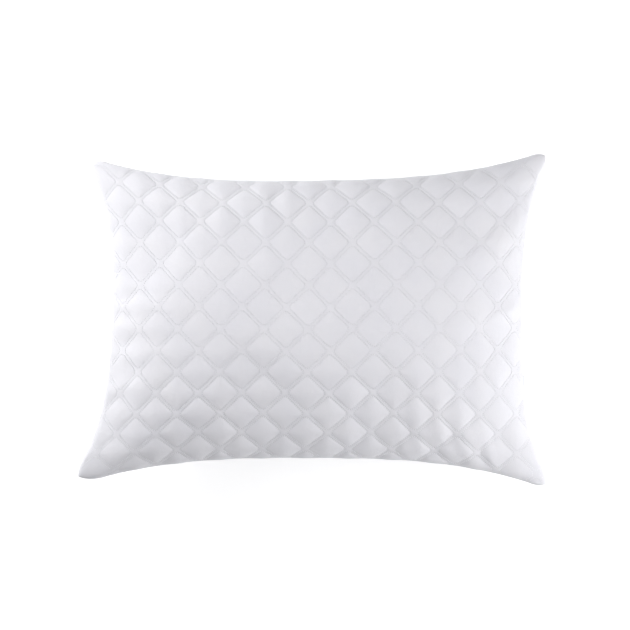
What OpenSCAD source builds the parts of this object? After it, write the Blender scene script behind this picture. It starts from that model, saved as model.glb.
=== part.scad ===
// Bed pillow, 50 x 70 cm, lying flat.
// Two quilted panels are sewn face to face round the edge, turned out and filled with loose fibre.
// The origin is on the surface that the pillow rests on, under its centre. X runs along the long side.

/* [Size] */
// Distance between the corners along the long side
span_x = 686; // [600:2:900]
// Distance between the corners along the short side
span_y = 486; // [400:2:600]
// Height of the filled pillow over the surface it lies on
loft = 160; // [130:1:220]
// Height of the edge seam over the surface it lies on
seam_z = 74; // [60:1:100]

/* [Filled shape] */
// How far the middle of each short side pulls in
pull_x = 37; // [10:1:60]
// How far the middle of each long side pulls in
pull_y = 35; // [10:1:60]
// How sharply the sides turn out towards the corners
ear_power = 2.3; // [2:0.1:3]
// How flat the crown is along the long side
crown_x = 2.4; // [2:0.1:4]
// How flat the crown is along the short side
crown_y = 2; // [2:0.1:4]
// How steeply the panels leave the seam
fullness = 0.6; // [0.45:0.01:0.65]
// How far the fill would bulge below the resting face if nothing held it up
press = 6; // [2:1:20]

/* [Layers] */
// Thickness of the face cloth
face_t = 0.8; // [0.4:0.1:1.5]
// Thickness of the wadding under the face cloth
wadding_t = 3.6; // [2:0.2:8]
// Thickness of the backing sheet
backing_t = 0.4; // [0.2:0.1:1]
// Clearance between layers that are only held at the seam
layer_gap = 0.4; // [0.3:0.1:1]

/* [Quilting] */
// Distance between neighbouring quilt channels along X or Y
quilt_pitch = 63; // [40:1:90]
// Distance of the middle diamond from the pillow's centre along X
quilt_shift_x = 17; // [-32:1:32]
// Distance of the middle diamond from the pillow's centre along Y
quilt_shift_y = -4; // [-32:1:32]
// Width of a channel's double row of stitches
row_w = 4.5; // [2:0.5:8]
// Thickness of a row of stitches
row_t = 0.7; // [0.4:0.1:1.5]

/* [Seam] */
// Width of the turned-in edges
allowance_w = 10; // [6:1:15]
// Thickness of one turned-in edge, pressed flat
allowance_t = 0.8; // [0.5:0.1:2]
// Thickness of the seam threads
thread_t = 0.6; // [0.3:0.1:1]
// Length of the opening that was sewn up after filling
closing_len = 220; // [120:10:300]

/* [Care label] */
// Width of the blank tape
label_w = 28; // [15:1:50]
// How far the tape hangs below the seam
label_len = 42; // [20:1:60]
// Distance of the tape from the middle of the short side
label_y = -96; // [-150:1:150]

/* [Hidden] */

cloth_white = [0.97, 0.97, 0.98];
fleece_white = [0.95, 0.95, 0.93];
backing_grey = [0.90, 0.91, 0.92];
thread_white = [0.88, 0.88, 0.90];

// Grid lines on a panel, closer together towards the seam
cells_x = 18;
cells_y = 12;
us = [for (i = [0 : cells_x]) sin(180 * i / cells_x - 90)];
vs = [for (j = [0 : cells_y]) sin(180 * j / cells_y - 90)];

// Height from the seam to the crown, and from the seam down to where an unsupported panel would reach
rise_top = loft - seam_z;
rise_bottom = seam_z + press;

// Depths of the layers under the outside of the panel
wadding_d = face_t + layer_gap;
backing_d = wadding_d + wadding_t;
fill_d = backing_d + backing_t + layer_gap;

// The turned-in edges, with the seam thread on them and the overlock thread round their raw rim
allowance_d = face_t + 2.4;
seam_row_d = allowance_d + layer_gap;
overlock_d = allowance_d + allowance_w + 0.1;
overlock_w = 1.2;

// The inner layers' rims lie inside the turned-in edges; layer_lift keeps the two panels' layers
// apart there, and fill_lift is half the height of the fill's rim
layer_rim = overlock_d + overlock_w + layer_gap - wadding_d;
layer_lift = 0.2;
fill_rim = layer_rim + fill_d + 4;
fill_lift = 0.8;

// Rows of stitches: how near the seam they run, their clearance over the cloth, the length of a
// straight piece of the row, half the length of the longest row, and which channels there are
row_limit = 0.975;
row_lift = 0.3;
row_step = 12;
row_reach = 420;
rows = [for (k = [-9 : 8]) k + 0.5];

// Half-width of the outline at a depth d inside it: rim_x across, where v runs from -1 to 1, and rim_y
function rim_x(v, d) = span_x / 2 - d - pull_x * (1 - pow(abs(v), ear_power));
function rim_y(u, d) = span_y / 2 - d - pull_y * (1 - pow(abs(u), ear_power));

// Height of the panel over the seam, as a part of its full rise: 1 at the crown and 0 at the seam
function dome(u, v) =
  pow((1 - pow(abs(u), crown_x)) * (1 - pow(abs(v), crown_y)), fullness);

// Heights of the two panels at a depth d under their outside
function top_z(u, v, d, lift) = seam_z + lift + (rise_top - lift - d) * dome(u, v);
function bottom_z(u, v, d, lift) = max(d, seam_z - lift - (rise_bottom - lift - d) * dome(u, v));

// A panel's point at depth d, whose rim is rim_d inside the outline
function panel_point(u, v, side, d, rim_d, lift) = [
  rim_x(v, rim_d) * u,
  rim_y(u, rim_d) * v,
  side > 0 ? top_z(u, v, d, lift) : bottom_z(u, v, d, lift)
];

function panel_points(side, d, rim_d, lift) =
  [for (v = vs) for (u = us) panel_point(u, v, side, d, rim_d, lift)];

// Two triangles for each cell of the grid, whose first point is number start
function cell_faces(start, flip) = [
  for (j = [0 : cells_y - 1])
    for (i = [0 : cells_x - 1])
      let (
        a = start + j * (cells_x + 1) + i,
        b = a + 1,
        c = b + cells_x + 1,
        d = c - 1,
        slant = (i < cells_x / 2) == (j < cells_y / 2),
        pair = slant ? [[a, b, c], [a, c, d]] : [[a, b, d], [b, c, d]]
      )
      for (f = pair) flip ? [f[2], f[1], f[0]] : f
];

// The numbers of the grid's edge points in order, anticlockwise
rim_index = concat(
  [for (i = [0 : cells_x - 1]) i],
  [for (j = [0 : cells_y - 1]) j * (cells_x + 1) + cells_x],
  [for (i = [cells_x : -1 : 1]) cells_y * (cells_x + 1) + i],
  [for (j = [cells_y : -1 : 1]) j * (cells_x + 1)]
);

// Triangles that join two grids along their edges
function rim_faces(offset, flip) = [
  for (k = [0 : len(rim_index) - 1])
    let (
      a = rim_index[k],
      b = rim_index[(k + 1) % len(rim_index)],
      pair = [[a, b + offset, b], [a, a + offset, b + offset]]
    )
    for (f = pair) flip ? [f[2], f[1], f[0]] : f
];

// One layer of a panel, from depth d to depth d + t, whose rim is drawn in by rim more than that.
// side is 1 for the front panel and -1 for the rear one
module layer(side, d, t, rim = 0, lift = 0) {
  count = len(us) * len(vs);
  polyhedron(
    points = concat(
      panel_points(side, d, d + rim, lift),
      panel_points(side, d + t, d + t + rim, lift)
    ),
    faces = concat(
      cell_faces(0, side > 0),
      cell_faces(count, side < 0),
      rim_faces(count, side > 0)
    )
  );
}

// The pillow's outline, drawn in by d, with its four corners trimmed off
module outline(d) {
  polygon([for (k = rim_index)
    let (u = us[k % (cells_x + 1)], v = vs[floor(k / (cells_x + 1))])
    if (abs(u) + abs(v) < 2)
    [rim_x(v, d) * u, rim_y(u, d) * v]
  ]);
}

// A flat ring that follows the outline, between two depths inside it
module ring(d_outer, d_inner, z_low, z_high) {
  translate([0, 0, z_low])
    linear_extrude(height = z_high - z_low)
      difference() {
        outline(d_outer);
        outline(d_inner);
      }
}

// The panel coordinates u and v of a point in plan, found by repeated correction
function plan_uv(x, y, d, steps = 6, u = 0, v = 0) =
  steps == 0 ? [u, v] : plan_uv(x, y, d, steps - 1, x / rim_x(v, d), y / rim_y(u, d));

// Height of a panel's outside, grown by out, at a point in plan
function skin_z(x, y, side, out) =
  let (p = plan_uv(x, y, -out))
  side > 0 ? top_z(p[0], p[1], -out, 0) : seam_z - (rise_bottom + out) * dome(p[0], p[1]);

// Whether a row of stitches runs here: inside the seam, and not where the pillow rests
function has_row(x, y, side) =
  let (p = plan_uv(x, y, -row_t), edge = max(abs(p[0]), abs(p[1])))
  edge < row_limit && (side > 0 || skin_z(x, y, side, row_lift + row_t) > 0);

// Points along a channel; slant is 1 or -1, and offset is where the channel crosses the X axis
function on_channel(s, slant, offset) = [offset + s / sqrt(2), slant * s / sqrt(2)];

// One stretch of a channel as an upright band that follows the panel
module stitched_band(run, side, slant, offset) {
  low = [for (s = run)
    let (p = on_channel(s, slant, offset)) [s, skin_z(p[0], p[1], side, row_lift)]];
  high = [for (s = run)
    let (p = on_channel(s, slant, offset)) [s, skin_z(p[0], p[1], side, row_lift + row_t)]];
  back = [for (i = [len(high) - 1 : -1 : 0]) high[i]];
  translate([offset, 0, 0])
    rotate([0, 0, slant * 45])
      translate([0, row_w / 2, 0])
        rotate([90, 0, 0])
          linear_extrude(height = row_w)
            polygon(concat(low, back));
}

// A channel across a panel, in one stretch, or in two on either side of the resting face
module channel(side, slant, offset) {
  middle = -offset / sqrt(2);
  kept = [for (s = [-row_reach : row_step : row_reach])
    let (p = on_channel(s, slant, offset)) if (has_row(p[0], p[1], side)) s];
  left = [for (s = kept) if (s < middle) s];
  right = [for (s = kept) if (s >= middle) s];
  gap = len(left) > 0 && len(right) > 0 ? right[0] - left[len(left) - 1] : 0;
  if (gap < row_step + 1) {
    if (len(kept) > 2) stitched_band(kept, side, slant, offset);
  } else {
    if (len(left) > 2) stitched_band(left, side, slant, offset);
    if (len(right) > 2) stitched_band(right, side, slant, offset);
  }
}

module quilting(side) {
  color(thread_white)
    for (slant = [-1, 1])
      for (k = rows)
        channel(side, slant, k * quilt_pitch + quilt_shift_x - slant * quilt_shift_y);
}

module front_face_fabric() { color(cloth_white) layer(1, 0, face_t); }
module rear_face_fabric() { color(cloth_white) layer(-1, 0, face_t); }
module front_wadding() { color(fleece_white) layer(1, wadding_d, wadding_t, layer_rim, layer_lift); }
module rear_wadding() { color(fleece_white) layer(-1, wadding_d, wadding_t, layer_rim, layer_lift); }
module front_backing() { color(backing_grey) layer(1, backing_d, backing_t, layer_rim, layer_lift); }
module rear_backing() { color(backing_grey) layer(-1, backing_d, backing_t, layer_rim, layer_lift); }
module front_quilting_thread() { quilting(1); }
module rear_quilting_thread() { quilting(-1); }

// The fibre fill is one closed lump, clear of the turned-in edges
module fibre_fill() {
  count = len(us) * len(vs);
  color(fleece_white)
    polyhedron(
      points = concat(
        panel_points(1, fill_d, fill_rim, fill_lift),
        panel_points(-1, fill_d, fill_rim, fill_lift)
      ),
      faces = concat(cell_faces(0, true), cell_faces(count, false), rim_faces(count, true))
    );
}

// The panels' turned-in edges: the face, wadding and backing pressed flat together
module front_seam_allowance() {
  color(cloth_white)
    ring(allowance_d, allowance_d + allowance_w, seam_z + 0.05, seam_z + 0.05 + allowance_t);
}

module rear_seam_allowance() {
  color(cloth_white)
    ring(allowance_d, allowance_d + allowance_w, seam_z - 0.05 - allowance_t, seam_z - 0.05);
}

// The lockstitch that joins the panels: its needle thread above the turned-in edges, its bobbin
// thread below them
module perimeter_seam_thread() {
  edge = allowance_t + 0.05;
  color(thread_white) {
    ring(seam_row_d, seam_row_d + thread_t, seam_z + edge, seam_z + edge + thread_t);
    ring(seam_row_d, seam_row_d + thread_t, seam_z - edge - thread_t, seam_z - edge);
  }
}

// The overlock binds the raw rim of both turned-in edges
module overlock_thread() {
  edge = allowance_t + 0.05;
  color(thread_white)
    ring(overlock_d, overlock_d + overlock_w, seam_z - edge, seam_z + edge);
}

// The row that closes the opening for the fill, on the edge of one long side
module closing_seam_thread() {
  half_u = closing_len / span_x;
  run = [for (k = [-8 : 8]) half_u * k / 8];
  outside = [for (u = run) [rim_x(1, 0) * u, -rim_y(u, -thread_t - 0.1)]];
  inside = [for (i = [len(run) - 1 : -1 : 0]) [rim_x(1, 0) * run[i], -rim_y(run[i], -0.1)]];
  color(thread_white)
    translate([0, 0, seam_z - thread_t])
      linear_extrude(height = 2 * thread_t)
        polygon(concat(outside, inside));
}

// A blank tape that is caught in the seam of one short side and hangs down against the rear panel
module care_label() {
  v = label_y / rim_y(1, 0);
  near = rim_x((label_y - label_w / 2) / rim_y(1, 0), 0);
  far = rim_x((label_y + label_w / 2) / rim_y(1, 0), 0);
  turn = atan((near - far) / label_w);
  color("white")
    translate([rim_x(v, 0), label_y, seam_z])
      rotate([0, 0, turn])
        translate([0.2, -label_w / 2, -label_len])
          cube([thread_t, label_w, label_len]);
}

front_face_fabric();
front_wadding();
front_backing();
front_quilting_thread();
rear_face_fabric();
rear_wadding();
rear_backing();
rear_quilting_thread();
fibre_fill();
front_seam_allowance();
rear_seam_allowance();
perimeter_seam_thread();
overlock_thread();
closing_seam_thread();
care_label();
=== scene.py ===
import math

import bpy
import numpy as np
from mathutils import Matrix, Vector
from mathutils.geometry import delaunay_2d_cdt


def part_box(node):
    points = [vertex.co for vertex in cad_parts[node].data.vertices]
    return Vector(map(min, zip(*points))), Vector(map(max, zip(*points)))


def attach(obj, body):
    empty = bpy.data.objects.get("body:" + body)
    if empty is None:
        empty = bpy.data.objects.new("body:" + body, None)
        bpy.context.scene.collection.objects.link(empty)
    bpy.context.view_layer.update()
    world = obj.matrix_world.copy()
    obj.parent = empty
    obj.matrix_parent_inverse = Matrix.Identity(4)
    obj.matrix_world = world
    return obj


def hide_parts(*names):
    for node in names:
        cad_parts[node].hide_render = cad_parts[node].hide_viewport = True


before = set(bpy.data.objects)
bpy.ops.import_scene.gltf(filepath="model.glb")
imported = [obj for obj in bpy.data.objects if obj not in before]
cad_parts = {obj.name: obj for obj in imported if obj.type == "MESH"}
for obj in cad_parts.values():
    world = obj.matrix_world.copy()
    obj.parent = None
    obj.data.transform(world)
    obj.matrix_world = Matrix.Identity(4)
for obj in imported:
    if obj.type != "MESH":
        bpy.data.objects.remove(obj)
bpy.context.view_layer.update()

# ---- Sizes, in metres, worked out from the frame where the CAD settles them ----

front_low, front_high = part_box("front_face_fabric")
HALF_X = front_high.x
HALF_Y = front_high.y
SEAM_Z = front_low.z
CROWN_Z = front_high.z
RISE_TOP = CROWN_Z - SEAM_Z
FLOOR_BULGE = 0.006  # how far the fill would bulge below the floor if nothing held it up
RISE_BOTTOM = SEAM_Z + FLOOR_BULGE

# The filled outline: the sides pull in, and turn out to blunt ears at the corners
MID_X = HALF_X - 0.0360
MID_Y = HALF_Y - 0.0342
EAR_X = 0.0467
EAR_Y = 0.0456
EAR_POWER_X = 3.0
EAR_POWER_Y = 2.83
EAR_ROUND = 0.036
LEFT_BOTTOM_ROUND = 0.060
CROWN_POWER_X = 2.4
CROWN_POWER_Y = 2.0
FULLNESS = 0.6

# It lies a little askew: the left side leans, and the long sides have slid up and turned
LEFT_TOP_SHIFT = 0.003
LEFT_BOTTOM_SHIFT = -0.0255
SLIDE_X = 0.0023
SLIDE_Y = 0.0026
TOP_TURN = 0.0057
BOTTOM_TURN = -0.0019

# The turned edge is a few millimetres thick all round
EDGE_RISE = 0.0032
EDGE_ROUND = 0.006

# Quilting: closed diamonds with round corners, each sewn along its own outline, with a channel between
QUILT_PITCH = 0.0639
QUILT_SHIFT_X = 0.0184
QUILT_SHIFT_Y = -0.0108
CELL = QUILT_PITCH / math.sqrt(2)
CHANNEL = 0.0048
DIAMOND_HALF = (CELL - CHANNEL) / 2
DIAMOND_ROUND = 0.0058

# Its relief: a pinch at the sewn line, a puff inside it and a ridge along the channel, each with its height
# and the distance over which it rises; a layer's inside turns a little later than its outside
PINCH = 0.0009
PINCH_REACH = 0.0008
PUFF = 0.0027
PUFF_REACH = 0.0030
RIDGE = 0.0008
RIDGE_REACH = 0.0007
INSIDE_SETBACK = 0.0012
SEAM_FADE = 0.006

# Where it is plump: flattest in a band along the middle, full at the long sides, flatter at the ends and ears
ROWS_MIDDLE = 0.12
ROWS_FLAT = 0.15
ROWS_BLEND = 0.55
FLAT_STRENGTH = 0.35
ENDS_START = 0.55
ENDS_LOSS = 0.75
EAR_REACH = 0.20
EAR_LOSS = 0.8

# Painted shade: the cloth's colour is darkened in the sewn grooves and, more softly, in a band along the
# seam, which keeps the rim from burning out under the side lamps
GROOVE_WIDTH = 0.0007
RIM_PAINTED_SHADE = 0.5
RIM_REACH = 0.013

# Edges with a sharper turn than this, in radians, keep their crease
SHARP_ANGLE = 1.4

# Stitches
STITCH_PITCH = 0.0033
STITCH_LENGTH = 0.0021
STITCH_RADIUS = 0.00060

# Simulation: its grid and length, how far the seam gathers in, the uneven start from which folds begin, and
# the most that a point may move
SIM_CELLS_X = 70
SIM_CELLS_Y = 50
SIM_FRAMES = 20
GATHER_FRAMES = 10
GATHER = 0.012
START_UNEVEN = 0.0003
START_SEED = 3
MOVE_CAP = 0.0030
EVENING_PASSES = 8

# Where it rests, the puffs are pressed flat and the sewn outlines stand a little off the floor
FLOOR_SOFTNESS = 0.0020
PRESSED_STAND = 0.0022
PRESSED_SOFTNESS = 0.0004


# ---- The filled shape ----

def rim_x(v):
    """Half-length of the pillow where v runs from -1 to 1 along the short side."""
    return MID_X + EAR_X * np.abs(v) ** EAR_POWER_X


def rim_y(u):
    """Half-width of the pillow where u runs from -1 to 1 along the long side."""
    return MID_Y + EAR_Y * np.abs(u) ** EAR_POWER_Y


def crown(u, v):
    """Height over the seam as a part of the full rise."""
    across = np.clip(1 - np.abs(u) ** CROWN_POWER_X, 0, 1)
    along = np.clip(1 - np.abs(v) ** CROWN_POWER_Y, 0, 1)
    return (across * along) ** FULLNESS


def seam_distance(u, v):
    """Distances to the nearest short and long seams."""
    return (1 - np.abs(u)) * rim_x(v), (1 - np.abs(v)) * rim_y(u)


def edge_rise(u, v):
    """Half the thickness of the turned edge, rounded off at the seam."""
    rise = EDGE_RISE
    for gap in seam_distance(u, v):
        away = np.clip(1 - gap / EDGE_ROUND, 0, 1)
        rise = rise * np.sqrt(1 - away ** 2)
    return rise


def round_ears(u, v):
    """Turns each corner of the panel's square into a quarter circle; the rest stays as it is."""
    radius = np.where((u < 0) & (v < 0), LEFT_BOTTOM_ROUND, EAR_ROUND)
    p = np.clip(1 - (1 - np.abs(u)) * HALF_X / radius, 0, 1)
    q = np.clip(1 - (1 - np.abs(v)) * HALF_Y / radius, 0, 1)
    in_x = radius * p * (1 - np.sqrt(1 - q ** 2 / 2)) / HALF_X
    in_y = radius * q * (1 - np.sqrt(1 - p ** 2 / 2)) / HALF_Y
    return u - np.sign(u) * in_x, v - np.sign(v) * in_y


def filled_point(u, v, side):
    """A panel's smooth filled shape: side is 1 for the front and -1 for the rear."""
    round_u, round_v = round_ears(u, v)
    top = np.clip((1 + v) / 2, 0, 1) ** 3
    bottom = np.clip((1 - v) / 2, 0, 1) ** 3
    left = np.clip((1 - u) / 2, 0, 1) ** 2
    x = rim_x(v) * round_u + left * (LEFT_TOP_SHIFT * top + LEFT_BOTTOM_SHIFT * bottom) + SLIDE_X
    y = rim_y(u) * round_v + SLIDE_Y * (1 - np.abs(u) ** EAR_POWER_Y) * v ** 2
    y = y + (TOP_TURN * top + BOTTOM_TURN * bottom) * u
    rise = RISE_TOP if side > 0 else -RISE_BOTTOM
    z = SEAM_Z + rise * crown(u, v) + side * edge_rise(u, v)
    return np.stack([x, y, z], axis=-1)


# ---- Objects and faces ----

def new_object(name, data):
    """An object in the scene."""
    item = bpy.data.objects.new(name, data)
    bpy.context.scene.collection.objects.link(item)
    return item


def quads(number):
    """The faces between neighbours in a grid of point numbers."""
    corners = [number[:-1, :-1], number[1:, :-1], number[1:, 1:], number[:-1, 1:]]
    return np.stack(corners, axis=-1).reshape(-1, 4)


# ---- Cloth simulation of the two panels, gathered round the seam ----

def cover_mesh(grid_u, grid_v):
    """Both panels as one closed mesh with a shared seam: points, faces, point numbers and seam points."""
    on_seam = np.maximum(np.abs(grid_u), np.abs(grid_v)) == 1
    front = np.arange(grid_u.size).reshape(grid_u.shape)
    rear = front.copy()
    rear[~on_seam] = front.size + np.arange(np.sum(~on_seam))
    shape = filled_point(grid_u, grid_v, 1).reshape(-1, 3)
    points = np.concatenate([shape, filled_point(grid_u, grid_v, -1)[~on_seam]])
    faces = np.concatenate([quads(front), quads(rear)[:, ::-1]]).tolist()
    return points, faces, {1: front, -1: rear}, front[on_seam].tolist()


def set_cloth(cloth, volume):
    """A quilted panel is stiff in its plane and bends in soft folds, and the fill holds its volume."""
    settings = cloth.settings
    settings.quality = 8
    settings.mass = 0.1
    settings.tension_stiffness = 40
    settings.compression_stiffness = 40
    settings.shear_stiffness = 20
    settings.bending_stiffness = 3
    settings.air_damping = 1
    settings.vertex_group_mass = "seam"
    settings.use_pressure = True
    settings.uniform_pressure_force = 0
    settings.use_pressure_volume = True
    settings.target_volume = volume
    settings.pressure_factor = 1000
    settings.effector_weights.gravity = 0
    cloth.collision_settings.use_collision = False
    cloth.collision_settings.use_self_collision = False
    cloth.point_cache.frame_start = 1
    cloth.point_cache.frame_end = SIM_FRAMES + 1


def mesh_volume(points, faces):
    """Volume inside a closed mesh of quads."""
    corners = points[np.array(faces)]
    a, b, c, d = (corners[:, k] for k in range(4))
    return float((a * np.cross(b, c)).sum() + (a * np.cross(c, d)).sum()) / 6


def evened(grid):
    """Evens out the shortest ripples: each place moves half way to the middle of its neighbours."""
    for _ in range(EVENING_PASSES):
        around = grid[:-2, 1:-1] + grid[2:, 1:-1] + grid[1:-1, :-2] + grid[1:-1, 2:]
        grid[1:-1, 1:-1] = grid[1:-1, 1:-1] / 2 + around / 8
    return grid


def simulate_cover():
    """Draws the sewn seam in by a little and lets the cloth find its folds.

    Gives each panel's movement from the smooth shape, on the simulation's grid."""
    steps = [np.linspace(-1, 1, cells + 1) for cells in (SIM_CELLS_X, SIM_CELLS_Y)]
    grid_u, grid_v = np.meshgrid(*steps, indexing="ij")
    held, faces, numbers, seam = cover_mesh(grid_u, grid_v)
    uneven = np.random.default_rng(START_SEED).normal(0, START_UNEVEN, len(held))
    uneven[seam] = 0
    held[:, 2] += uneven
    cut = held * np.array([1 + GATHER, 1 + GATHER, 1])
    mesh = bpy.data.meshes.new("cover_cloth")
    mesh.from_pydata(cut.tolist(), [], faces)
    cover = new_object("cover_cloth", mesh)
    cover.shape_key_add(name="cut")
    gathered = cover.shape_key_add(name="gathered")
    gathered.data.foreach_set("co", held.ravel())
    for time, value in ((1, 0), (GATHER_FRAMES, 1)):
        gathered.value = value
        gathered.keyframe_insert("value", frame=time)
    cover.vertex_groups.new(name="seam").add(seam, 1.0, "REPLACE")
    set_cloth(cover.modifiers.new("cloth", "CLOTH"), mesh_volume(held, faces))
    for step in range(1, SIM_FRAMES + 1):
        bpy.context.scene.frame_set(step)
    result = cover.evaluated_get(bpy.context.evaluated_depsgraph_get()).to_mesh()
    settled = np.empty(len(held) * 3)
    result.vertices.foreach_get("co", settled)
    moved = settled.reshape(-1, 3) - held
    bpy.data.objects.remove(cover)
    bpy.data.meshes.remove(mesh)
    bpy.context.scene.frame_set(1)
    size = np.linalg.norm(moved, axis=1, keepdims=True) + 1e-9
    moved *= MOVE_CAP * np.tanh(size / MOVE_CAP) / size
    return {side: evened(moved[numbers[side]]) for side in (1, -1)}


def spline_weights(t):
    """Weights of a uniform cubic B-spline's four control points."""
    return [
        (1 - t) ** 3 / 6,
        (3 * t ** 3 - 6 * t ** 2 + 4) / 6,
        (-3 * t ** 3 + 3 * t ** 2 + 3 * t + 1) / 6,
        t ** 3 / 6,
    ]


def smooth_sample(grid, u, v):
    """Reads a grid over the panel as a smooth surface."""
    parts = []
    for value, cells in ((u, grid.shape[0] - 1), (v, grid.shape[1] - 1)):
        place = (np.clip(value, -1, 1) + 1) / 2 * cells
        base = np.minimum(place.astype(int), cells - 1)
        parts.append((base, spline_weights(place - base), cells))
    (base_u, weight_u, cells_u), (base_v, weight_v, cells_v) = parts
    total = 0
    for i in range(4):
        for j in range(4):
            row = np.clip(base_u + i - 1, 0, cells_u)
            column = np.clip(base_v + j - 1, 0, cells_v)
            total = total + (weight_u[i] * weight_v[j])[..., None] * grid[row, column]
    return total


movement = simulate_cover()


def pressed(z, level, softness):
    """Flattens what would reach below a level, with a soft turn at the edge of the flat."""
    return level + softness * np.logaddexp(0, (z - level) / softness)


# ---- Long soft folds that run in from the seam, where the cover is gathered ----

# Each one: the side it starts from, its distance from that side's middle, length, half-width, height, lean
FRONT_FOLDS = [
    ("bottom", 0.118, 0.145, 0.0075, 0.0019, -0.05),
    ("bottom", 0.140, 0.189, 0.0088, 0.0032, 0.02),
    ("bottom", 0.170, 0.174, 0.0088, 0.0030, 0.04),
    ("bottom", 0.200, 0.160, 0.0088, 0.0032, 0.05),
    ("bottom", 0.232, 0.131, 0.0075, 0.0026, 0.05),
    ("bottom", -0.120, 0.087, 0.0075, 0.0016, 0.0),
    ("top", -0.138, 0.131, 0.0088, 0.0022, 0.0),
    ("top", -0.079, 0.160, 0.0100, 0.0030, 0.02),
    ("top", -0.043, 0.131, 0.0088, 0.0019, 0.0),
    ("top", 0.060, 0.072, 0.0075, 0.0016, 0.0),
    ("left", 0.042, 0.131, 0.0100, 0.0026, 0.05),
    ("left", 0.018, 0.160, 0.0100, 0.0032, 0.03),
    ("left", -0.008, 0.145, 0.0100, 0.0026, 0.0),
    ("left", -0.046, 0.174, 0.0112, 0.0032, 0.0),
    ("left", -0.086, 0.131, 0.0100, 0.0035, 0.05),
    ("right", 0.018, 0.145, 0.0088, 0.0030, -0.25),
    ("right", 0.044, 0.087, 0.0088, 0.0016, -0.1),
    ("right", -0.070, 0.087, 0.0088, 0.0016, 0.1),
]
REAR_FOLDS = [(name, -place, *shape) for name, place, *shape in FRONT_FOLDS]
FOLD_START = 0.12
FOLD_DIE = 1.5
FOLD_TROUGH = 0.35


def fold_height(u, v, folds):
    """Height of the folds: round ridges between shallow troughs, which die away from the seam."""
    x, y = u * MID_X, v * MID_Y
    gaps = {"left": x + MID_X, "right": MID_X - x, "bottom": y + MID_Y, "top": MID_Y - y}
    total = 0
    for name, place, length, half, height, lean in folds:
        gap = gaps[name]
        along = y if name in ("left", "right") else x
        share = np.clip(gap / length, 0, 1)
        body = np.clip(share / FOLD_START, 0, 1) * (1 - share) ** FOLD_DIE * (1 + share)
        across = (along - place - lean * gap) / (half * (1 + share))
        total = total + height * body * (np.exp(-across ** 2) - FOLD_TROUGH * np.exp(-(across / 2) ** 2))
    return total


def panel_point(u, v, side):
    """A panel's shape with its folds, before the quilting and the floor."""
    gap_x, gap_y = seam_distance(u, v)
    held = np.clip(np.minimum(gap_x, gap_y) / EDGE_ROUND, 0, 1)[..., None]
    point = filled_point(u, v, side) + smooth_sample(movement[side], u, v) * held
    folds = FRONT_FOLDS if side > 0 else REAR_FOLDS
    point[..., 2] += side * fold_height(u, v, folds)
    return point


NORMAL_STEP = 0.0015


def panel_normal(u, v, side):
    """Outward direction of a panel."""
    low_u, high_u = np.clip(u - NORMAL_STEP, -1, 1), np.clip(u + NORMAL_STEP, -1, 1)
    low_v, high_v = np.clip(v - NORMAL_STEP, -1, 1), np.clip(v + NORMAL_STEP, -1, 1)
    along = panel_point(high_u, v, side) - panel_point(low_u, v, side)
    across = panel_point(u, high_v, side) - panel_point(u, low_v, side)
    normal = np.cross(along, across) * side
    return normal / (np.linalg.norm(normal, axis=-1, keepdims=True) + 1e-12)


# ---- Fabric coordinates: distances along the cloth from the panel's centre ----

# Half the table's steps each way, and the search for its inverse: steps, pull back from outside the panel,
# least slope to divide by, farthest place outside
MAP_X = 240
MAP_Y = 180
NEWTON_STEPS = 14
PULL_BACK = 0.5
LEAST_SLOPE = 0.05
FARTHEST = 1.2


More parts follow.
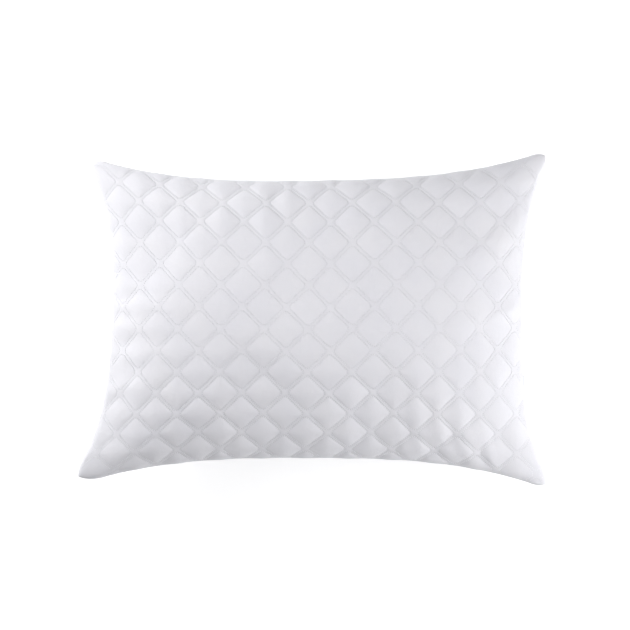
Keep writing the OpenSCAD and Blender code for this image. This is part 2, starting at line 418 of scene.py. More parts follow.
class FabricMap:
    """Turns distances along the cloth into map coordinates, and back.

    Panel coordinates are the sines of map coordinates, so that the table is finest near the seam."""

    def __init__(self, side):
        self.s = np.linspace(-1, 1, 2 * MAP_X + 1)
        self.t = np.linspace(-1, 1, 2 * MAP_Y + 1)
        u, v = np.meshgrid(np.sin(self.s * math.pi / 2), np.sin(self.t * math.pi / 2), indexing="ij")
        shape = filled_point(u, v, side)
        self.x = self.lengths(shape, 0, MAP_X)
        self.y = self.lengths(shape, 1, MAP_Y)
        self.slopes = [np.gradient(self.x, self.s, self.t), np.gradient(self.y, self.s, self.t)]

    @staticmethod
    def lengths(shape, axis, middle):
        """Distances along one way of the cloth, from its middle line."""
        steps = np.linalg.norm(np.diff(shape, axis=axis), axis=-1)
        start = np.zeros_like(np.take(steps, [0], axis=axis))
        total = np.concatenate([start, np.cumsum(steps, axis=axis)], axis=axis)
        return total - np.take(total, [middle], axis=axis)

    def read(self, grid, s, t):
        """A table's value at a place, by linear interpolation."""
        place_s = (np.clip(s, -1, 1) + 1) * MAP_X
        place_t = (np.clip(t, -1, 1) + 1) * MAP_Y
        i = np.minimum(place_s.astype(int), 2 * MAP_X - 1)
        j = np.minimum(place_t.astype(int), 2 * MAP_Y - 1)
        a, b = place_s - i, place_t - j
        low = grid[i, j] * (1 - b) + grid[i, j + 1] * b
        high = grid[i + 1, j] * (1 - b) + grid[i + 1, j + 1] * b
        return low * (1 - a) + high * a

    def to_panel(self, x, y):
        """Map coordinates of cloth coordinates, by Newton's method; past 1 they are off the cloth."""
        s, t = x / self.x.max(), y / self.y.max()
        for _ in range(NEWTON_STEPS):
            miss_x = self.read(self.x, s, t) + (s - np.clip(s, -1, 1)) * PULL_BACK - x
            miss_y = self.read(self.y, s, t) + (t - np.clip(t, -1, 1)) * PULL_BACK - y
            xs, xt = (self.read(g, s, t) for g in self.slopes[0])
            ys, yt = (self.read(g, s, t) for g in self.slopes[1])
            xs, yt = np.maximum(xs, LEAST_SLOPE), np.maximum(yt, LEAST_SLOPE)
            bend = xs * yt - xt * ys
            s = np.clip(s - (miss_x * yt - miss_y * xt) / bend, -FARTHEST, FARTHEST)
            t = np.clip(t - (miss_y * xs - miss_x * ys) / bend, -FARTHEST, FARTHEST)
        return s, t

    def outline(self, spacing):
        """The seam in order, as even points of s and t."""
        across = max(2, round(2 * HALF_X / spacing))
        along = max(2, round(2 * HALF_Y / spacing))
        long_side = np.arcsin(np.linspace(-1, 1, across + 1)[:-1]) * 2 / math.pi
        short_side = np.arcsin(np.linspace(-1, 1, along + 1)[:-1]) * 2 / math.pi
        s = np.concatenate([long_side, np.ones(along), -long_side, -np.ones(along)])
        t = np.concatenate([-np.ones(across), short_side, np.ones(across), -short_side])
        return s, t


def sine(value):
    """Panel coordinate of a map coordinate."""
    return np.sin(np.clip(value, -1, 1) * math.pi / 2)


maps = {side: FabricMap(side) for side in (1, -1)}


# ---- Quilting ----

def cell_offset(value):
    """Distance from the middle of the nearest diamond, along one diagonal."""
    return (value + CELL / 2) % CELL - CELL / 2


def local_depth(a, b):
    """Distance inside a diamond's sewn outline, from a place in the diamond; negative outside it."""
    a = np.abs(a) - (DIAMOND_HALF - DIAMOND_ROUND)
    b = np.abs(b) - (DIAMOND_HALF - DIAMOND_ROUND)
    outside = np.hypot(np.maximum(a, 0), np.maximum(b, 0))
    return DIAMOND_ROUND - outside - np.minimum(np.maximum(a, b), 0)


def diamond_place(x, y):
    """Place in the nearest diamond, along the quilting's two directions."""
    shift_x, shift_y = x - QUILT_SHIFT_X, y - QUILT_SHIFT_Y
    return cell_offset((shift_x + shift_y) / math.sqrt(2)), cell_offset((shift_x - shift_y) / math.sqrt(2))


def quilt_height(x, y, puff=0.0, pinch=0.0, ridge=0.0, setback=0.0):
    """Height of a layer over the sewn outlines: a low dome in each diamond, a low ridge in each channel."""
    a, b = diamond_place(x, y)
    depth = local_depth(a, b)
    inside = np.maximum(depth - setback, 0)
    dome = (1 - (a / DIAMOND_HALF) ** 2) * (1 - (b / DIAMOND_HALF) ** 2)
    domed = puff * np.maximum(dome, 0) * (1 - np.exp(-inside / PUFF_REACH))
    pinched = pinch * (1 - np.exp(-inside / PINCH_REACH))
    ribbon = ridge * (1 - np.exp(np.minimum(depth, 0) / RIDGE_REACH))
    return domed + pinched + ribbon


def groove_share(x, y):
    """Painted shade along the sewn outlines, from 0 to 1: strongest where a point lies deepest in a sewn
    line.
    """
    return np.exp(-(local_depth(*diamond_place(x, y)) / GROOVE_WIDTH) ** 2)


def painted_rim_shade(x, y):
    """Painted shade in a band along the seam, from its most at the seam down to nothing further in."""
    gap = np.minimum(rim_x(y / HALF_Y) - np.abs(x), rim_y(x / HALF_X) - np.abs(y))
    return RIM_PAINTED_SHADE * np.exp(-np.maximum(gap, 0) / RIM_REACH)


def seam_fade(u, v):
    """The quilting is squeezed flat towards the seam."""
    fade = 1
    for gap in seam_distance(u, v):
        ratio = np.clip(gap / SEAM_FADE, 0, 1)
        fade = fade * ratio * (2 - ratio)
    return fade


def smooth_step(share):
    """Eases a share from 0 to 1 at both ends."""
    return share ** 2 * (3 - 2 * share)


def quilt_strength(u, v):
    """How plump the quilting is, from 0 to 1."""
    rows = np.clip((np.abs(v - ROWS_MIDDLE) - ROWS_FLAT) / ROWS_BLEND, 0, 1)
    ends = np.clip((np.abs(u) - ENDS_START) / (1 - ENDS_START), 0, 1)
    ear = np.clip(1 - np.hypot(1 - np.abs(u), (1 - np.abs(v)) * HALF_Y / HALF_X) / EAR_REACH, 0, 1)
    strength = FLAT_STRENGTH + (1 - FLAT_STRENGTH) * smooth_step(rows) * (1 - ENDS_LOSS * smooth_step(ends))
    return strength * (1 - EAR_LOSS * smooth_step(ear))


OUTSIDE = {"lift": 0.0, "puff": PUFF, "pinch": PINCH, "ridge": RIDGE}


def cloth_point(u, v, x, y, side, lift, **relief):
    """A point on one of a panel's layers, lift metres over the sewn outlines."""
    height = quilt_height(x, y, **relief) * seam_fade(u, v) * quilt_strength(u, v) + lift
    base = panel_point(u, v, side)
    if side < 0:
        base[..., 2] = pressed(base[..., 2], PRESSED_STAND, FLOOR_SOFTNESS)
    point = base + panel_normal(u, v, side) * height[..., None]
    if side < 0:
        inward = max(-lift, 0)
        point[..., 2] = pressed(point[..., 2], inward, PRESSED_SOFTNESS)
    return point


# ---- Meshes ----

# How closely a layer's mesh follows each diamond: loops at these depths inside its sewn outline, the distance
# between a loop's points, and the points along one side of a plain grid in the middle
FINE = {"loops": (-0.0010, 0.0, 0.0006, 0.0014, 0.0028, 0.0052), "spacing": 0.0026, "grid": 6}
MEDIUM = {"loops": (0.0, 0.0014, 0.0040), "spacing": 0.0050, "grid": 4}
COARSE = {"loops": (), "spacing": 0.0100, "grid": 4}
GRID_MARGIN = 0.0022
STAR_POINTS = 0.0032

# Along the seam: the distance between points, the rings inside it, and where the quilting's own points begin
RIM_SPACING = 0.0020
RIM_RINGS = (0.0010, 0.0024, 0.0038)
LATTICE_MARGIN = 0.0050

# A place is looked for this far past the cloth's longest lengths, and found when it is this near
SEARCH_REACH = 1.05
PLACE_ERROR = 0.0005

# Triangles are worked out in millimetres
MILLIMETRES = 1000
SAME_POINT = 1e-6


def outline_point(distance, depth=0.0):
    """A point on the sewn outline of a diamond, or on a loop inside it, that far round it."""
    straight = 2 * (DIAMOND_HALF - DIAMOND_ROUND)
    radius = DIAMOND_ROUND - depth
    quarter = straight + math.pi * radius / 2
    turns = np.floor(distance / quarter)
    rest = distance - turns * quarter
    angle = np.maximum(rest - straight, 0) / radius
    a = straight / 2 + radius * np.cos(angle)
    b = np.minimum(rest, straight) - straight / 2 + radius * np.sin(angle)
    turn = turns * math.pi / 2
    return a * np.cos(turn) - b * np.sin(turn), a * np.sin(turn) + b * np.cos(turn)


def outline_length(depth=0.0):
    """Distance once round a diamond's sewn outline, or round a loop inside it."""
    return 8 * (DIAMOND_HALF - DIAMOND_ROUND) + 2 * math.pi * (DIAMOND_ROUND - depth)


def diamond_points(detail):
    """One diamond's mesh points, with half of the channels round it."""
    points = []
    for depth in detail["loops"]:
        count = round(outline_length(depth) / detail["spacing"])
        points.append(np.stack(outline_point(np.arange(count) * outline_length(depth) / count, depth)))
    deepest = max(detail["loops"], default=-CHANNEL / 2) + GRID_MARGIN
    ticks = np.linspace(deepest - DIAMOND_HALF, DIAMOND_HALF - deepest, detail["grid"])
    a, b = (grid.ravel() for grid in np.meshgrid(ticks, ticks))
    clear = local_depth(a, b) > deepest - GRID_MARGIN / 2
    points.append(np.stack([a[clear], b[clear]]))
    count = round(CELL / detail["spacing"])
    along = np.arange(count) * CELL / count - CELL / 2
    edge = np.full(count, -CELL / 2)
    points += [np.stack([edge, along]), np.stack([along[1:], edge[1:]])]
    star = np.array([[1, 1], [1, -1], [-1, -1], [-1, 1]]).T * (CELL / 2 - STAR_POINTS)
    points.append(star)
    return np.concatenate(points, axis=1)


def quilt_places(a, b):
    """Cloth coordinates of one diamond's points, for every diamond on a panel."""
    reach = math.ceil((HALF_X + HALF_Y + RISE_TOP) / math.sqrt(2) / CELL) + 1
    cells = np.arange(-reach, reach + 1) * CELL
    p = (cells[:, None, None] + a).repeat(len(cells), axis=1).ravel()
    q = (cells[None, :, None] + b).repeat(len(cells), axis=0).ravel()
    return (p + q) / math.sqrt(2) + QUILT_SHIFT_X, (p - q) / math.sqrt(2) + QUILT_SHIFT_Y


def on_panel(x, y, fabric, margin):
    """Which cloth coordinates lie on a panel, more than margin from its seam."""
    reach_x, reach_y = fabric.x.max() * SEARCH_REACH, fabric.y.max() * SEARCH_REACH
    near = (np.abs(x) < reach_x) & (np.abs(y) < reach_y)
    s, t = fabric.to_panel(x[near], y[near])
    gap_x, gap_y = seam_distance(sine(s), sine(t))
    miss = np.hypot(fabric.read(fabric.x, s, t) - x[near], fabric.read(fabric.y, s, t) - y[near])
    inside = (np.abs(s) < 1) & (np.abs(t) < 1) & (gap_x > margin) & (gap_y > margin) & (miss < PLACE_ERROR)
    near[near] = inside
    return near


def inside_seam(x, y, fabric, margin):
    """Panel and cloth coordinates of the points that lie on a panel, more than margin from its seam."""
    kept = on_panel(x, y, fabric, margin)
    s, t = fabric.to_panel(x[kept], y[kept])
    return sine(s), sine(t), x[kept], y[kept]


def inset_ring(u, v, gap, fabric):
    """The seam's points moved in from the seam, with their cloth coordinates."""
    ring_u = u * (1 - gap / HALF_X)
    ring_v = v * (1 - gap / HALF_Y)
    s, t = np.arcsin(ring_u) * 2 / math.pi, np.arcsin(ring_v) * 2 / math.pi
    return ring_u, ring_v, fabric.read(fabric.x, s, t), fabric.read(fabric.y, s, t)


def layer_surface(side, detail, inset, layer):
    """One surface of a layer: its points, its triangles, its rim's size and its cloth coordinates."""
    fabric = maps[side]
    s, t = fabric.outline(RIM_SPACING)
    rim_u, rim_v = sine(s), sine(t)
    rows = [inset_ring(rim_u, rim_v, inset + gap, fabric) for gap in (0.0, *RIM_RINGS)]
    rows.append(inside_seam(*quilt_places(*diamond_points(detail)), fabric, inset + LATTICE_MARGIN))
    u, v, x, y = (np.concatenate(column) for column in zip(*rows))
    rim = len(rim_u)
    edges = [(k, (k + 1) % rim) for k in range(rim)]
    flat = [Vector(place) for place in zip((x * MILLIMETRES).tolist(), (y * MILLIMETRES).tolist())]
    _, _, triangles, origins, _, _ = delaunay_2d_cdt(flat, edges, [], 1, SAME_POINT)
    back = np.array([ids[0] for ids in origins])
    triangles = back[np.array(triangles)]
    points = cloth_point(u, v, x, y, side, **layer)
    if inset == 0:
        points[:rim] = filled_point(u[:rim], v[:rim], side)
    return points, triangles, rim, np.stack([x, y], axis=-1)


def join_surfaces(outer, inner, flip):
    """Two surfaces as one closed mesh that shares its rim: points, faces and cloth coordinates."""
    points, faces, rim, cloth = outer
    inner_points, inner_faces, _, inner_cloth = inner
    shifted = np.where(inner_faces < rim, inner_faces, inner_faces + len(points) - rim)
    all_faces = np.concatenate([faces, shifted[:, ::-1]])
    if flip:
        all_faces = all_faces[:, ::-1]
    all_points = np.concatenate([points, inner_points[rim:]])
    all_cloth = np.concatenate([cloth, inner_cloth[rim:]])
    return all_points, all_faces, all_cloth


def new_piece(name, points, faces, material, cloth=None):
    """A smooth-shaded mesh object. Given each point's place on the flat cloth, it is woven and carries
    painted shade in the sewn grooves and along the seam.
    """
    mesh = bpy.data.meshes.new(name)
    mesh.from_pydata(np.asarray(points).tolist(), [], [[int(k) for k in face] for face in faces])
    mesh.shade_smooth()
    if cloth is not None:
        mesh.set_sharp_from_angle(angle=SHARP_ANGLE)
        corner = np.empty(len(mesh.loops), np.int32)
        mesh.loops.foreach_get("vertex_index", corner)
        layer = mesh.uv_layers.new(name="cloth")
        layer.uv.foreach_set("vector", cloth[corner].astype(np.float32).ravel())
        # Painted shade: darker in the sewn grooves and in a band along the seam, read by the cloth's material
        groove = mesh.attributes.new("groove", "FLOAT", "POINT")
        x, y = np.asarray(points)[:, :2].T
        shade = groove_share(cloth[:, 0], cloth[:, 1]) * quilt_strength(x / HALF_X, y / HALF_Y)
        groove.data.foreach_set("value", np.maximum(shade, painted_rim_shade(x, y)).astype(np.float32))
    mesh.materials.append(material)
    return new_object(name, mesh)


def layer_piece(name, side, material, outer, inner, inset=0.0):
    """A closed layer of a panel, from the detail and the height of its outside and its inside."""
    surfaces = [layer_surface(side, detail, inset, layer) for detail, layer in (outer, inner)]
    points, faces, cloth = join_surfaces(*surfaces, flip=side < 0)
    return new_piece(name, points, faces, material, cloth)


# ---- Stitches ----

# A stitch is a bead with this many sides, full at two places along it; it stands over the cloth there and
# dips in at its pointed ends, by these shares of its radius
STITCH_SIDES = 4
STITCH_RINGS = (0.22, 0.78)
STITCH_STAND = 0.7
STITCH_DIP = 0.8


def stitch_piece(name, rows, radius):
    """Short stitches, each a bead of thread that dips into the cloth at both ends.

    Each row holds its stitches' starts, ends and upward directions."""
    start, end, up = (np.concatenate(column) for column in zip(*rows))
    along = end - start
    across = np.cross(along, up)
    across /= np.linalg.norm(across, axis=-1, keepdims=True)
    rings = [start - up * radius * STITCH_DIP]
    for share in STITCH_RINGS:
        middle = start + along * share + up * radius * STITCH_STAND
        for k in range(STITCH_SIDES):
            angle = 2 * math.pi * (k + 0.5) / STITCH_SIDES
            rings.append(middle + (across * math.cos(angle) + up * math.sin(angle)) * radius)
    rings.append(end - up * radius * STITCH_DIP)
    points = np.stack(rings, axis=1).reshape(-1, 3)
    size = len(rings)
    first, last = 0, size - 1
    faces = []
    for k in range(STITCH_SIDES):
        a, b = 1 + k, 1 + (k + 1) % STITCH_SIDES
        c, d = a + STITCH_SIDES, b + STITCH_SIDES
        faces += [(first, a, b), (a, c, d), (a, d, b), (last, d, c)]
    base = (np.arange(len(start)) * size)[:, None, None]
    return new_piece(name, points, (base + np.array(faces)[None]).reshape(-1, 3), thread_look)


def quilting_stitches(name, side):
    """The stitches round every diamond of a panel."""
    fabric = maps[side]
    count = round(outline_length() / STITCH_PITCH)
    middles = np.arange(count) * outline_length() / count
    places = []
    for shift in (-STITCH_LENGTH / 2, 0, STITCH_LENGTH / 2):
        places.append(quilt_places(*outline_point((middles + shift) % outline_length())))
    kept = on_panel(*places[1], fabric, LATTICE_MARGIN)
    ends = []
    for x, y in places:
        s, t = fabric.to_panel(x[kept], y[kept])
        ends.append(cloth_point(sine(s), sine(t), x[kept], y[kept], side, **OUTSIDE))
        if len(ends) == 2:
            up = panel_normal(sine(s), sine(t), side)
    return stitch_piece(name, [(ends[0], ends[2], up)], STITCH_RADIUS)


def seam_line(inset, spacing):
    """Points round the pillow about one spacing apart, inset from the seam, at the seam's height."""
    s, t = maps[1].outline(spacing)
    u, v, _, _ = inset_ring(sine(s), sine(t), inset, maps[1])
    points = filled_point(u, v, 1)
    points[:, 2] = SEAM_Z
    return points


# ---- Materials ----

# Colours: each material varies a little between two
CLOTH_TONES = ((0.762, 0.758, 0.803), (0.787, 0.780, 0.817))
# Painted shade in the sewn grooves and along the seam: the grey the cloth darkens towards, and the most it
# darkens
PAINTED_SHADE_TONE = (0.48, 0.49, 0.52)
GROOVE_PAINTED_SHADE = 0.45
THREAD_TONES = ((0.79, 0.79, 0.83), (0.89, 0.89, 0.92))
WADDING_TONES = ((0.74, 0.74, 0.75), (0.84, 0.84, 0.85))
FILL_TONES = ((0.72, 0.73, 0.75), (0.86, 0.86, 0.87))
BACKING_TONES = ((0.66, 0.67, 0.69), (0.80, 0.80, 0.81))
TAPE_TONES = ((0.72, 0.73, 0.76), (0.80, 0.80, 0.82))


def new_material(name, **values):
    """A material with a Principled shader; values set its sockets by name."""
    material = bpy.data.materials.new(name)
    material.use_nodes = True
    shader = material.node_tree.nodes["Principled BSDF"]
    for key, value in values.items():
        shader.inputs[key.replace("_", " ").title().replace("Ior", "IOR")].default_value = value
    return material


def add_node(material, kind, **values):
    """A shader node with its input sockets set, or linked where a value is a socket."""
    node = material.node_tree.nodes.new(kind)
    for key, value in values.items():
        socket = node.inputs[int(key[2:])] if key.startswith("in") else node.inputs[key.replace("_", " ")]
        if isinstance(value, bpy.types.NodeSocket):
            material.node_tree.links.new(value, socket)
        else:
            socket.default_value = value
    return node


def dress(material, normal, colour, roughness):
    """Leads the relief, the colour and the roughness into the shader."""
    shader = material.node_tree.nodes["Principled BSDF"]
    for output, name in ((normal, "Normal"), (colour, "Base Color"), (roughness, "Roughness")):
        material.node_tree.links.new(output, shader.inputs[name])
    return material


def combine(material, a, b, operation="ADD"):
    """Two values added or multiplied."""
    node = add_node(material, "ShaderNodeMath", in0=a, in1=b)
    node.operation = operation
    return node.outputs[0]


def wave(material, coordinates, direction, pitch, distortion=0.0):
    """Height of a row of yarns, one every pitch metres."""
    node = add_node(material, "ShaderNodeTexWave", Vector=coordinates, Scale=math.pi / (10 * pitch))
    node.bands_direction = direction
    node.inputs["Distortion"].default_value = distortion
    return node.outputs["Fac"]


def noise(material, coordinates, size, detail=3.0):
    """Soft random variation whose patches are about size metres across."""
    node = add_node(material, "ShaderNodeTexNoise", Vector=coordinates, Scale=1 / size, Detail=detail)
    return node.outputs["Fac"]


def bump(material, height, depth, normal=None):
    """Relief of the given depth, on top of an earlier one."""
    node = add_node(material, "ShaderNodeBump", Height=height, Distance=depth)
    if normal is not None:
        material.node_tree.links.new(normal, node.inputs["Normal"])
    return node.outputs["Normal"]


def ramp(material, factor, low, high):
    """A colour between low and high."""
    node = add_node(material, "ShaderNodeMix")
    node.data_type = "RGBA"
    material.node_tree.links.new(factor, node.inputs[0])
    for number, colour in ((6, low), (7, high)):
        if isinstance(colour, bpy.types.NodeSocket):
            material.node_tree.links.new(colour, node.inputs[number])
        else:
            node.inputs[number].default_value = (*colour, 1)
    return node.outputs[2]


def spread(material, factor, low, high):
    """A value between low and high, from a factor that stays near its middle."""
    return add_node(
        material, "ShaderNodeMapRange", Value=factor, From_Min=0.3, From_Max=0.7, To_Min=low, To_Max=high
    ).outputs[0]


def cloth_coordinates(material):
    """Distances along the flat cloth, in metres."""
    node = material.node_tree.nodes.new("ShaderNodeUVMap")
    node.uv_map = "cloth"
    return node.outputs["UV"]


def object_coordinates(material):
    """Places on the pillow, in metres."""
    return material.node_tree.nodes.new("ShaderNodeTexCoord").outputs["Object"]


def microfibre():
    """Brushed white microfibre: a plain weave too fine to see from afar, a soft nap and faint creases, with
    painted shade in the sewn grooves and along the seam.
    """
    material = new_material(
        "white_microfibre", specular_ior_level=0.25, sheen_weight=0.25, sheen_roughness=0.5
    )
    cloth = cloth_coordinates(material)
    place = object_coordinates(material)
    warp = wave(material, cloth, "X", pitch=0.00045, distortion=0.6)
    weft = wave(material, cloth, "Y", pitch=0.00040, distortion=0.6)
    nap = noise(material, place, size=0.0012, detail=5.0)
    crease = noise(material, place, size=0.009, detail=4.0)
    normal = bump(material, combine(material, warp, weft), depth=0.00003)
    normal = bump(material, nap, depth=0.00010, normal=normal)
    normal = bump(material, crease, depth=0.0005, normal=normal)
    tone = spread(material, noise(material, place, size=0.05, detail=4.0), 0.0, 1.0)
    # Painted shade: the cloth's colour turns towards a grey in the sewn grooves and along the seam
    groove = material.node_tree.nodes.new("ShaderNodeAttribute")
    groove.attribute_name = "groove"
    shade = combine(material, groove.outputs["Fac"], GROOVE_PAINTED_SHADE, "MULTIPLY")
    colour = ramp(material, shade, ramp(material, tone, *CLOTH_TONES), PAINTED_SHADE_TONE)
    return dress(material, normal, colour, spread(material, nap, 0.72, 0.92))


def thread():
    """Twisted white polyester sewing thread."""
    material = new_material("white_thread", specular_ior_level=0.45, sheen_weight=0.15)
    place = object_coordinates(material)
    plies = wave(material, place, "DIAGONAL", pitch=0.0004)
    normal = bump(material, plies, depth=0.00006)
    colour = ramp(material, noise(material, place, size=0.02), *THREAD_TONES)
    return dress(material, normal, colour, spread(material, plies, 0.45, 0.6))


def fleece(name, size, depth, tones):
    """Matted white fibres, as in wadding and loose fill."""
    material = new_material(name, specular_ior_level=0.15, sheen_weight=0.4, sheen_roughness=0.6)
    place = object_coordinates(material)
    tufts = noise(material, place, size, 6.0)
    fibres = add_node(material, "ShaderNodeTexNoise", Vector=place, Scale=1 / (size * 0.2), Detail=3.0)
    fibres.inputs["Distortion"].default_value = 2.5
    normal = bump(material, fibres.outputs["Fac"], depth * 0.2, bump(material, tufts, depth))
    colour = ramp(material, spread(material, tufts, 0.0, 1.0), *tones)
    return dress(material, normal, colour, spread(material, tufts, 0.85, 1.0))


def spunbond():
    """Thin white non-woven backing, bonded in a grid of small pressed dots."""
    material = new_material("white_spunbond", specular_ior_level=0.3)
    cloth = cloth_coordinates(material)
    columns = wave(material, cloth, "X", pitch=0.0012)
    rows = wave(material, cloth, "Y", pitch=0.0012)
    dots = combine(material, columns, rows, "MULTIPLY")
    place = object_coordinates(material)
    fibres = noise(material, place, size=0.0025, detail=6.0)
    normal = bump(material, fibres, depth=0.00015, normal=bump(material, dots, depth=0.00008))
    colour = ramp(material, fibres, *BACKING_TONES)
    return dress(material, normal, colour, spread(material, fibres, 0.55, 0.75))


def label_tape():
    """Blank white satin tape with a fine cross rib."""
    material = new_material("white_satin_tape", specular_ior_level=0.5, sheen_weight=0.1)
    place = object_coordinates(material)
    rib = wave(material, place, "Z", pitch=0.0005, distortion=0.3)
    normal = bump(material, rib, depth=0.00005)
    colour = ramp(material, noise(material, place, size=0.01), *TAPE_TONES)
    return dress(material, normal, colour, spread(material, rib, 0.3, 0.42))


cloth_look = microfibre()
thread_look = thread()
wadding_look = fleece("white_wadding", 0.006, 0.0008, WADDING_TONES)
fill_look = fleece("white_hollow_fibre", 0.018, 0.0035, FILL_TONES)
backing_look = spunbond()
tape_look = label_tape()


# ---- The quilted panels, their layers and their threads ----

# The wadding's inside and the backing are sunk under each puff, where the wadding is thickest
INSIDE = {"puff": PUFF, "setback": INSIDE_SETBACK}
SUNK = {"puff": -0.0012}
FACE_INSIDE = {"lift": -0.0007, **INSIDE}
WADDING_OUTSIDE = {"lift": -0.0009, **INSIDE}
WADDING_INSIDE = {"lift": -0.0017, **SUNK}
BACKING_OUTSIDE = {"lift": -0.0019, **SUNK}
BACKING_INSIDE = {"lift": -0.0022, **SUNK}
WADDING_INSET = 0.0030
BACKING_INSET = 0.0036

pieces = {}
for side, word in ((1, "front"), (-1, "rear")):
    pieces[word + "_face_fabric"] = layer_piece(
        word + "_quilted_face", side, cloth_look, (FINE, OUTSIDE), (MEDIUM, FACE_INSIDE)
    )
    pieces[word + "_wadding"] = layer_piece(
        word + "_quilt_wadding", side, wadding_look,
        (MEDIUM, WADDING_OUTSIDE), (MEDIUM, WADDING_INSIDE), WADDING_INSET,
    )
    pieces[word + "_backing"] = layer_piece(
        word + "_quilt_backing", side, backing_look,
        (MEDIUM, BACKING_OUTSIDE), (MEDIUM, BACKING_INSIDE), BACKING_INSET,
    )
    pieces[word + "_quilting_thread"] = quilting_stitches(word + "_quilting_stitches", side)


# ---- Inside: the fill, the turned-in edges and the threads that hold them ----

# The fill's distance in from the seam and under the sewn outlines, and the clumps on its surface
FILL_INSET = 0.012
FILL_GAP = 0.0045
LUMP = 0.0030
LUMP_WAVES = 24
LUMP_SIZES = (0.025, 0.075)
LUMP_SPREAD = 4
LUMP_SEED = 5

# The turned-in edges: four lines along them, their underside and upper side, and a slight ripple
ALLOWANCE_INSETS = (0.0016, 0.0050, 0.0085, 0.0115)
ALLOWANCE_LOW = 0.0002
ALLOWANCE_HIGH = 0.0007
ALLOWANCE_SPACING = 0.004
RIPPLE = 0.00015
RIPPLE_STEP = 0.9

# The threads: where each row runs, how long its stitches are and how far they stand over the cloth
SEAM_STITCH_INSET = 0.0012
SEAM_STITCH_SHARES = (0.12, 0.88)
OVERLOCK_INSETS = (0.0070, 0.0118)
OVERLOCK_PITCH = 0.0032
OVERLOCK_STAND = 0.0005
OVERLOCK_DIP = 0.9
CLOSING_INSET = 0.0030
CLOSING_PITCH = 0.0034
CLOSING_HALF = 0.34
CLOSING_STAND = 0.0001
SEAM_THREAD_RADIUS = 0.0003
CLOSING_THREAD_RADIUS = SEAM_THREAD_RADIUS * 1.2


def lumps(x, y, seed):
    """Soft clumps in the fill, from 0 to 1."""
    rng = np.random.default_rng(seed)
    total = 0
    for _ in range(LUMP_WAVES):
        angle, phase = rng.uniform(0, 2 * math.pi, 2)
        size = rng.uniform(*LUMP_SIZES)
        total = total + np.sin((x * math.cos(angle) + y * math.sin(angle)) * 2 * math.pi / size + phase)
    return 0.5 + 0.5 * np.tanh(total / LUMP_SPREAD)


def fibre_fill():
    """Loose fibre that fills the cover, as one lumpy body a little inside the backing."""
    surfaces = []
    for side in (1, -1):
        points, faces, rim, cloth = layer_surface(side, COARSE, FILL_INSET, {"lift": -FILL_GAP})
        points[:, 2] -= side * LUMP * lumps(cloth[:, 0], cloth[:, 1], LUMP_SEED + side)
        points[:rim, 2] = SEAM_Z
        surfaces.append((points, faces, rim, cloth))
    points, faces, _ = join_surfaces(*surfaces, flip=False)
    return new_piece("fibre_filling", points, faces, fill_look)


def seam_allowance(name, side):
    """A panel's own edge, turned in along the seam: a flat strip right round the pillow."""
    loops = [seam_line(inset, ALLOWANCE_SPACING) for inset in ALLOWANCE_INSETS]
    count = len(loops[0])
    ripple = RIPPLE * (1 + np.sin(np.arange(count) * RIPPLE_STEP))
    section = []
    for height, order in ((ALLOWANCE_LOW, loops), (ALLOWANCE_HIGH, loops[::-1])):
        for loop in order:
            raised = loop.copy()
            raised[:, 2] += side * (height + ripple)
            section.append(raised)
    points = np.concatenate(section)
    number = np.arange(len(points)).reshape(len(section), count)
    faces = quads(np.pad(number, ((0, 1), (0, 1)), mode="wrap").T)[:, ::-side]
    return new_piece(name, points, faces, cloth_look, points[:, :2])


def straight(line, side):
    """The same direction, straight up or down, for every stitch of a line."""
    return np.tile([0.0, 0.0, float(side)], (len(line), 1))


def seam_stitches():
    """The lock stitch that joins the two panels, just inside the edge."""
    line = seam_line(SEAM_STITCH_INSET, STITCH_PITCH)
    step = np.roll(line, -1, axis=0) - line
    start, end = (line + step * share for share in SEAM_STITCH_SHARES)
    return stitch_piece("perimeter_seam_stitches", [(start, end, straight(line, 1))], SEAM_THREAD_RADIUS)


def overlock_stitches():
    """Slanted stitches on both faces of the turned-in edges, and loops along their edge."""
    outer, inner = (seam_line(inset, OVERLOCK_PITCH) for inset in OVERLOCK_INSETS)
    slanted = (outer + np.roll(outer, -1, axis=0)) / 2
    rows = []
    for side in (1, -1):
        lift = np.array([0, 0, side * (ALLOWANCE_HIGH + OVERLOCK_STAND)])
        for line in (outer, slanted):
            rows.append((line + lift, inner + lift * OVERLOCK_DIP, straight(line, side)))
    rows.append((inner, np.roll(inner, -1, axis=0), straight(inner, 1)))
    return stitch_piece("overlock_stitches", rows, SEAM_THREAD_RADIUS)


def closing_stitches():
    """The row that closes the filling gap, sewn through both panels near one long edge."""
    low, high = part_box("closing_seam_thread")
    count = round((high.x - low.x) / CLOSING_PITCH)
    middle = low.x + (np.arange(count) + 0.5) * (high.x - low.x) / count
    rows = []
    for side in (1, -1):
        ends = []
        for shift in (-CLOSING_HALF, CLOSING_HALF):
            u = (middle + shift * CLOSING_PITCH) / MID_X
            v = np.full_like(u, -1 + CLOSING_INSET / MID_Y)
            ends.append(panel_point(u, v, side) + panel_normal(u, v, side) * CLOSING_STAND)
        rows.append((*ends, panel_normal(u, v, side)))
    return stitch_piece("closing_seam_stitches", rows, CLOSING_THREAD_RADIUS)


pieces["fibre_fill"] = fibre_fill()
pieces["front_seam_allowance"] = seam_allowance("front_turned_in_edge", 1)
pieces["rear_seam_allowance"] = seam_allowance("rear_turned_in_edge", -1)
pieces["perimeter_seam_thread"] = seam_stitches()
pieces["overlock_thread"] = overlock_stitches()
pieces["closing_seam_thread"] = closing_stitches()


# ---- The care label: a blank tape folded in two, hanging from the seam at one short side ----

LABEL_WIDTH = 0.028
TAPE = 0.0003
LEAF_STEPS = 16
LOOP_STEPS = 6
LABEL_COLUMNS = 15

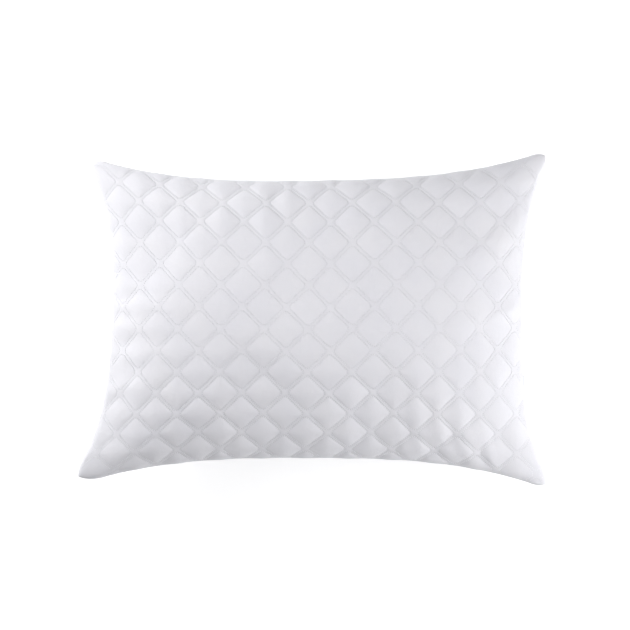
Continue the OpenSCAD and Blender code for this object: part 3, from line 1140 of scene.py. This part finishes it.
# Seen from the side, in distances out from the seam and down: the loop at the bottom of the fold, the leaves
# (out at the top, out at the bottom, down at the top, bend) and the sewn-in ends
LOOP_OUT = 0.0050
LOOP_RADIUS = 0.0012
LOOP_UP = 0.0020
OUTER_LEAF = (0.0022, LOOP_OUT + LOOP_RADIUS, 0.0010, 2)
INNER_LEAF = (0.0010, LOOP_OUT - LOOP_RADIUS, 0.0014, 1.5)
SEWN_ENDS = [(-0.0010, 0.0004), (-0.0012, -0.0004)]

# It curls across its width, more and more towards the bottom
CURL = 0.0012
CURL_TURN = 1.3 * math.pi
SEAM_SPAN = 0.02


def label_leaf(bottom, top_out, end_out, top, bend):
    """One leaf of the folded tape, from its top to its bottom."""
    share = np.linspace(0, 1, LEAF_STEPS + 1)
    return np.stack([top_out + (end_out - top_out) * share ** bend, -top - (bottom - top) * share], axis=-1)


def label_profile(drop):
    """The whole tape seen from the side."""
    bottom = drop - LOOP_UP
    angle = math.pi * np.arange(1, LOOP_STEPS) / LOOP_STEPS
    loop = np.stack([LOOP_OUT + LOOP_RADIUS * np.cos(angle), -bottom - LOOP_RADIUS * np.sin(angle)], axis=-1)
    outer, inner = (label_leaf(bottom, *leaf) for leaf in (OUTER_LEAF, INNER_LEAF))
    return np.concatenate([SEWN_ENDS[:1], outer, loop, inner[::-1], SEWN_ENDS[1:]])


def care_label():
    """The label and the length of its tape."""
    low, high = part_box("care_label")
    drop = SEAM_Z - low.z
    v_middle = np.array((low.y + high.y) / 2 / rim_y(1.0))
    one = np.array(1.0)
    rim = filled_point(one, v_middle, 1)
    along = filled_point(one, v_middle + SEAM_SPAN, 1) - filled_point(one, v_middle - SEAM_SPAN, 1)
    along /= np.linalg.norm(along)
    outward = np.array([along[1], -along[0], 0.0])
    profile = label_profile(drop)
    points = []
    for across in np.linspace(-0.5, 0.5, LABEL_COLUMNS):
        for away, down in profile:
            hang = min(1.0, -down / drop)
            curl = CURL * hang ** 2 * math.cos(across * CURL_TURN)
            points.append(rim + along * across * LABEL_WIDTH + outward * (away + curl) + [0, 0, down])
    number = np.arange(len(points)).reshape(LABEL_COLUMNS, len(profile))
    piece = new_piece("blank_care_label", points, quads(number.T), tape_look)
    solid = piece.modifiers.new("tape_thickness", "SOLIDIFY")
    solid.thickness = TAPE
    solid.offset = 0
    return piece, float(np.linalg.norm(np.diff(profile, axis=0), axis=1).sum())


pieces["care_label"], label_length = care_label()


# ---- Each piece joins the root body, and the CAD part it stands for is hidden ----

for node, piece in pieces.items():
    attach(piece, "root")
    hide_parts(node)


# ---- Floor, light and camera ----

FLOOR_SIZE = 12.0
FLOOR_TONE = 0.92
FLOOR_GLOW = 0.30
WORLD_TONE = (0.97, 0.98, 1.0)
WORLD_STRENGTH = 0.080
LENS = 85
SENSOR_WIDTH = 36
VIEW_HEIGHT = 2.24
VIEW_X = -0.0021
VIEW_Y = 0.0090

LIGHTS = [
    # name, azimuth in degrees from +X, elevation, distance, width, height, power
    ("left_key", 151, 24, 1.8, 1.5, 1.0, 32.5),
    ("right_key", -13, 22, 1.8, 1.5, 1.0, 21.5),
    ("right_high", -28, 42, 1.8, 1.5, 1.0, 9.5),
    ("overhead", 90, 88, 3.2, 2.4, 2.4, 20.5),
]


def floor_piece():
    """A wide pale floor that glows a little, so that it comes out white."""
    mesh = bpy.data.meshes.new("floor")
    half = FLOOR_SIZE / 2
    corners = [(-half, -half, 0), (half, -half, 0), (half, half, 0), (-half, half, 0)]
    mesh.from_pydata(corners, [], [[0, 1, 2, 3]])
    floor = new_object("floor", mesh)
    material = new_material("pale_floor", roughness=0.9, specular_ior_level=0.1)
    shader = material.node_tree.nodes["Principled BSDF"]
    shader.inputs["Base Color"].default_value = (FLOOR_TONE, FLOOR_TONE, FLOOR_TONE, 1)
    shader.inputs["Emission Color"].default_value = (1, 1, 1, 1)
    shader.inputs["Emission Strength"].default_value = FLOOR_GLOW
    mesh.materials.append(material)


def soft_light(name, azimuth, elevation, distance, width, height, power):
    """A rectangular lamp that faces the pillow."""
    turn, rise = math.radians(azimuth), math.radians(elevation)
    away = Vector((math.cos(turn) * math.cos(rise), math.sin(turn) * math.cos(rise), math.sin(rise)))
    lamp = bpy.data.lights.new(name, "AREA")
    lamp.shape = "RECTANGLE"
    lamp.size = width
    lamp.size_y = height
    lamp.energy = power
    light = new_object(name, lamp)
    light.location = Vector((0, 0, SEAM_Z)) + away * distance
    light.rotation_euler = away.to_track_quat("Z", "Y").to_euler()


def set_world():
    """Weak light from all round."""
    world = bpy.data.worlds.new("soft_room")
    world.use_nodes = True
    background = world.node_tree.nodes["Background"]
    background.inputs["Color"].default_value = (*WORLD_TONE, 1)
    background.inputs["Strength"].default_value = WORLD_STRENGTH
    bpy.context.scene.world = world


def set_camera():
    """A camera straight above the pillow."""
    data = bpy.data.cameras.new("camera")
    data.lens = LENS
    data.sensor_width = SENSOR_WIDTH
    camera = new_object("camera", data)
    camera.location = (VIEW_X, VIEW_Y, SEAM_Z + VIEW_HEIGHT)
    bpy.context.scene.camera = camera


floor_piece()
for light in LIGHTS:
    soft_light(*light)
set_world()
set_camera()
bpy.context.scene.view_settings.view_transform = "Standard"
